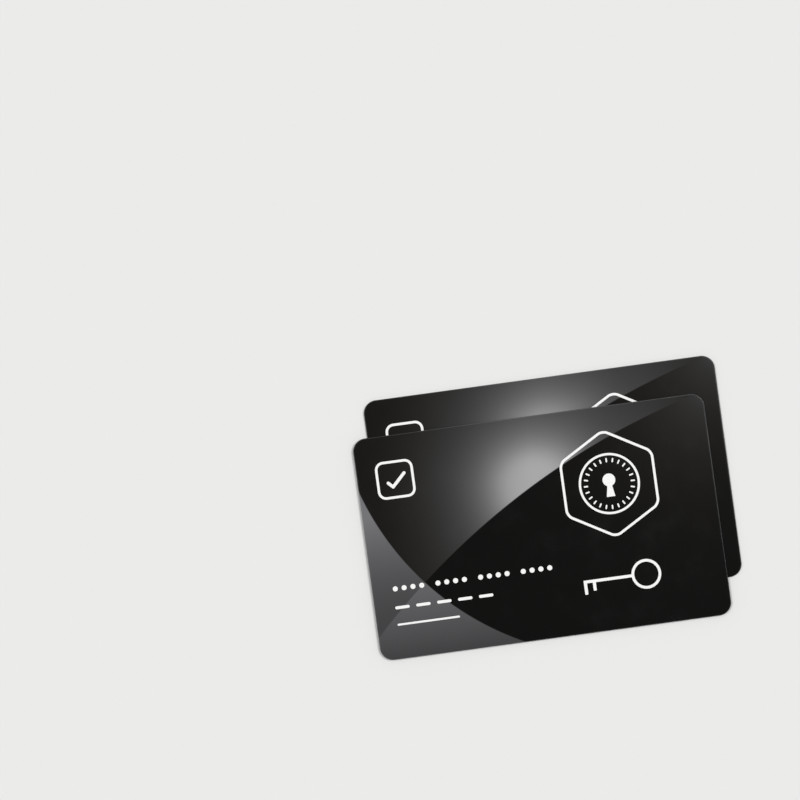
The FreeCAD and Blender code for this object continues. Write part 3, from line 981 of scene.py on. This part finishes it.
rims = {"face": {}, "back": {}}
for card in CARDS:
    for side in rims:
        finish, tree, shader, place = new_finish(f"{card}_{side}_rim", card_middles[card])
        side_colour = use(tree, sweep, Place=place)["Colour"] if side == "face" else BACK_DARK
        # The rim's colour is the bruise together with its painted highlight.
        bruise_and_highlight = use(tree, rim_bruise_and_highlight, Place=place, Print=side_colour)
        feed(tree, bruise_and_highlight["Colour"], shader["Base Color"])
        pointing = split(tree, add(tree, "NewGeometry").outputs["Normal"])
        upright = reckon(tree, "ABSOLUTE", pointing["Z"])
        gloss = use(tree, handling, Place=place)["Roughness"]
        roughness = spread(
            tree, upright, math.cos(SCUFFED_LEAN), math.cos(GLOSSY_LEAN), bruise_and_highlight["Roughness"], gloss
        )
        feed(tree, roughness, shader["Roughness"])
        rims[side][card] = finish
    print(card, "rims:", [rims[side][card].name for side in rims])

# %% [markdown]
# ## Cut edge
# Below the roll comes the side that the die has cut. It is dull and a little paler than the print, with
# the cut marks running from face to back.

# %% Mix the cut edge finish
EDGE_DARK = (0.010, 0.0095, 0.009, 1)
EDGE_PALE = (0.030, 0.029, 0.028, 1)

cut_edge, tree, shader, place = new_finish("cut_edge")
marks = use(tree, cut_marks, Place=place)
feed(tree, between_colours(tree, marks["Streak"], EDGE_DARK, EDGE_PALE), shader["Base Color"])
feed(tree, marks["Roughness"], shader["Roughness"])
print("edge:", cut_edge.name)

# %% [markdown]
# ## Dressing the skins
# A skin carries three finishes: the flat side, its bruised rim with its painted highlight, and its cut
# side. The faces are told apart by where they point and by their size. The cut side points level or
# inwards, the flat side is the one big face that points outwards, and the rim is what is left.

# %% Give each skin its three finishes
CUT_LEAN = math.radians(86)
FLAT_SLOT, RIM_SLOT, CUT_SLOT = range(3)

for side, outward in (("face", 1), ("back", -1)):
    for card, piece in skins[side].items():
        piece.data.materials.clear()
        for finish in (finishes[side][card], rims[side][card], cut_edge):
            piece.data.materials.append(finish)
        for face in piece.data.polygons:
            big = face.area > card_size.x * card_size.y / 2
            cut = face.normal.z * outward < math.cos(CUT_LEAN)
            face.material_index = CUT_SLOT if cut else FLAT_SLOT if big else RIM_SLOT
rim_faces = sum(face.material_index == RIM_SLOT for face in skins["face"]["front_card"].data.polygons)
print("rim faces on a skin:", rim_faces)

# %% [markdown]
# ## White ink
# Screen-printed white is opaque and dull beside the film. It isn't perfectly even: it is a little thinner
# in places, where the black below greys it.

# %% Mix the white ink
INK_WHITE = (0.86, 0.86, 0.85, 1)
INK_THIN = (0.70, 0.70, 0.69, 1)
INK_CLOUD_SCALE, INK_CLOUD_DETAIL = 2.4, 4.0
INK_THIN_START, INK_THIN_PEAK = 0.55, 0.75
INK_GRAIN_SCALE = 14.0
INK_GRAIN_DEPTH = 0.0015
INK_SMOOTHEST, INK_ROUGHEST = 0.38, 0.52

white_ink, tree, shader, place = new_finish("white_ink")
patches = cloud(tree, place, INK_CLOUD_SCALE, INK_CLOUD_DETAIL)
thinness = spread(tree, patches, INK_THIN_START, INK_THIN_PEAK)
feed(tree, between_colours(tree, thinness, INK_WHITE, INK_THIN), shader["Base Color"])
grain = cloud(tree, place, INK_GRAIN_SCALE)
feed(tree, cloud_range(tree, grain, INK_SMOOTHEST, INK_ROUGHEST), shader["Roughness"])
emboss(tree, grain, INK_GRAIN_DEPTH, shader)
for ink in inks:
    ink.data.materials.clear()
    ink.data.materials.append(white_ink)
print("inked marks:", len(inks))

# %% [markdown]
# ## The sheets and the inlay inside
# Only the edges of the two core sheets show, and the inlay is sealed between them. A part that is taken
# apart shows all of it, so each solid still gets the finish of the real thing: dull dark plastic with cut
# streaks, a clear grey film, etched aluminium with a rolled grain, the chip's black moulding and its
# gold-plated leads.

# %% Mix the core plastic and the inlay's film
GRAIN_DEPTH = 0.004
CORE_DARK = (0.026, 0.0255, 0.025, 1)
CORE_PALE = (0.060, 0.059, 0.058, 1)
FILM_CLEAR = (0.42, 0.44, 0.45, 1)
FILM_CLOUDY = (0.50, 0.52, 0.52, 1)
FILM_CLOUD_SCALE, FILM_CLOUD_DETAIL = 0.3, 4.0
FILM_SMOOTHEST, FILM_ROUGHEST = 0.16, 0.3

dark_core, tree, shader, place = new_finish("dark_core")
marks = use(tree, cut_marks, Place=place)
feed(tree, between_colours(tree, marks["Streak"], CORE_DARK, CORE_PALE), shader["Base Color"])
feed(tree, marks["Roughness"], shader["Roughness"])
emboss(tree, marks["Streak"], GRAIN_DEPTH, shader)

inlay_film, tree, shader, place = new_finish("inlay_film")
haze = cloud(tree, place, FILM_CLOUD_SCALE, FILM_CLOUD_DETAIL)
feed(tree, between_colours(tree, haze, FILM_CLEAR, FILM_CLOUDY), shader["Base Color"])
feed(tree, cloud_range(tree, haze, FILM_SMOOTHEST, FILM_ROUGHEST), shader["Roughness"])
print("sheets:", dark_core.name, inlay_film.name)

# %% Mix the metals
ROLLED_GRAIN = (0.6, 14.0, 1.0)
ROLLED_DETAIL = 3.0
ROLLED_DEPTH = 0.0003
METAL_DARK = (0.72, 0.72, 0.73, 1)
METAL_PALE = (0.84, 0.84, 0.84, 1)
METAL_SMOOTHEST, METAL_ROUGHEST = 0.34, 0.40
LEAD_DARK = (0.77, 0.60, 0.28, 1)
LEAD_PALE = (0.84, 0.66, 0.32, 1)
LEAD_SMOOTHEST, LEAD_ROUGHEST = 0.26, 0.29


def metal(name, dark, pale, smoothest, roughest):
    """A metal with the fine lengthwise grain that rolling leaves."""
    finish, tree, shader, place = new_finish(name)
    grain = cloud(tree, stretch(tree, place, ROLLED_GRAIN), detail=ROLLED_DETAIL)
    feed(tree, between_colours(tree, grain, dark, pale), shader["Base Color"])
    feed(tree, cloud_range(tree, grain, smoothest, roughest), shader["Roughness"])
    emboss(tree, grain, ROLLED_DEPTH, shader)
    shader["Metallic"].default_value = 1.0
    return finish


etched_metal = metal("etched_metal", METAL_DARK, METAL_PALE, METAL_SMOOTHEST, METAL_ROUGHEST)
chip_lead = metal("chip_lead", LEAD_DARK, LEAD_PALE, LEAD_SMOOTHEST, LEAD_ROUGHEST)
print("metals:", etched_metal.name, chip_lead.name)

# %% Mix the chip's moulding
MOULD_DARK = (0.012, 0.012, 0.013, 1)
MOULD_PALE = (0.035, 0.035, 0.036, 1)
MOULD_SPECK_SCALE, MOULD_SPECK_DETAIL = 16.0, 3.0
MOULD_SMOOTHEST, MOULD_ROUGHEST = 0.45, 0.7

chip_mould, tree, shader, place = new_finish("chip_mould")
speck = cloud(tree, place, MOULD_SPECK_SCALE, MOULD_SPECK_DETAIL)
feed(tree, between_colours(tree, speck, MOULD_DARK, MOULD_PALE), shader["Base Color"])
feed(tree, cloud_range(tree, speck, MOULD_SMOOTHEST, MOULD_ROUGHEST), shader["Roughness"])
emboss(tree, speck, GRAIN_DEPTH, shader)
print("moulding:", chip_mould.name)

# %% Give the solids their finishes
INNER_FINISHES = {
    "face_core_sheet": dark_core,
    "back_core_sheet": dark_core,
    "antenna_film": inlay_film,
    "antenna_coil": etched_metal,
    "antenna_bridge": etched_metal,
    "chip_leads": chip_lead,
    "chip_mould": chip_mould,
}
for card in CARDS:
    for node_name, finish in INNER_FINISHES.items():
        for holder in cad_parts[f"{card}_{node_name}"].material_slots:
            holder.material = finish
print("inner finishes:", len(set(INNER_FINISHES.values())))
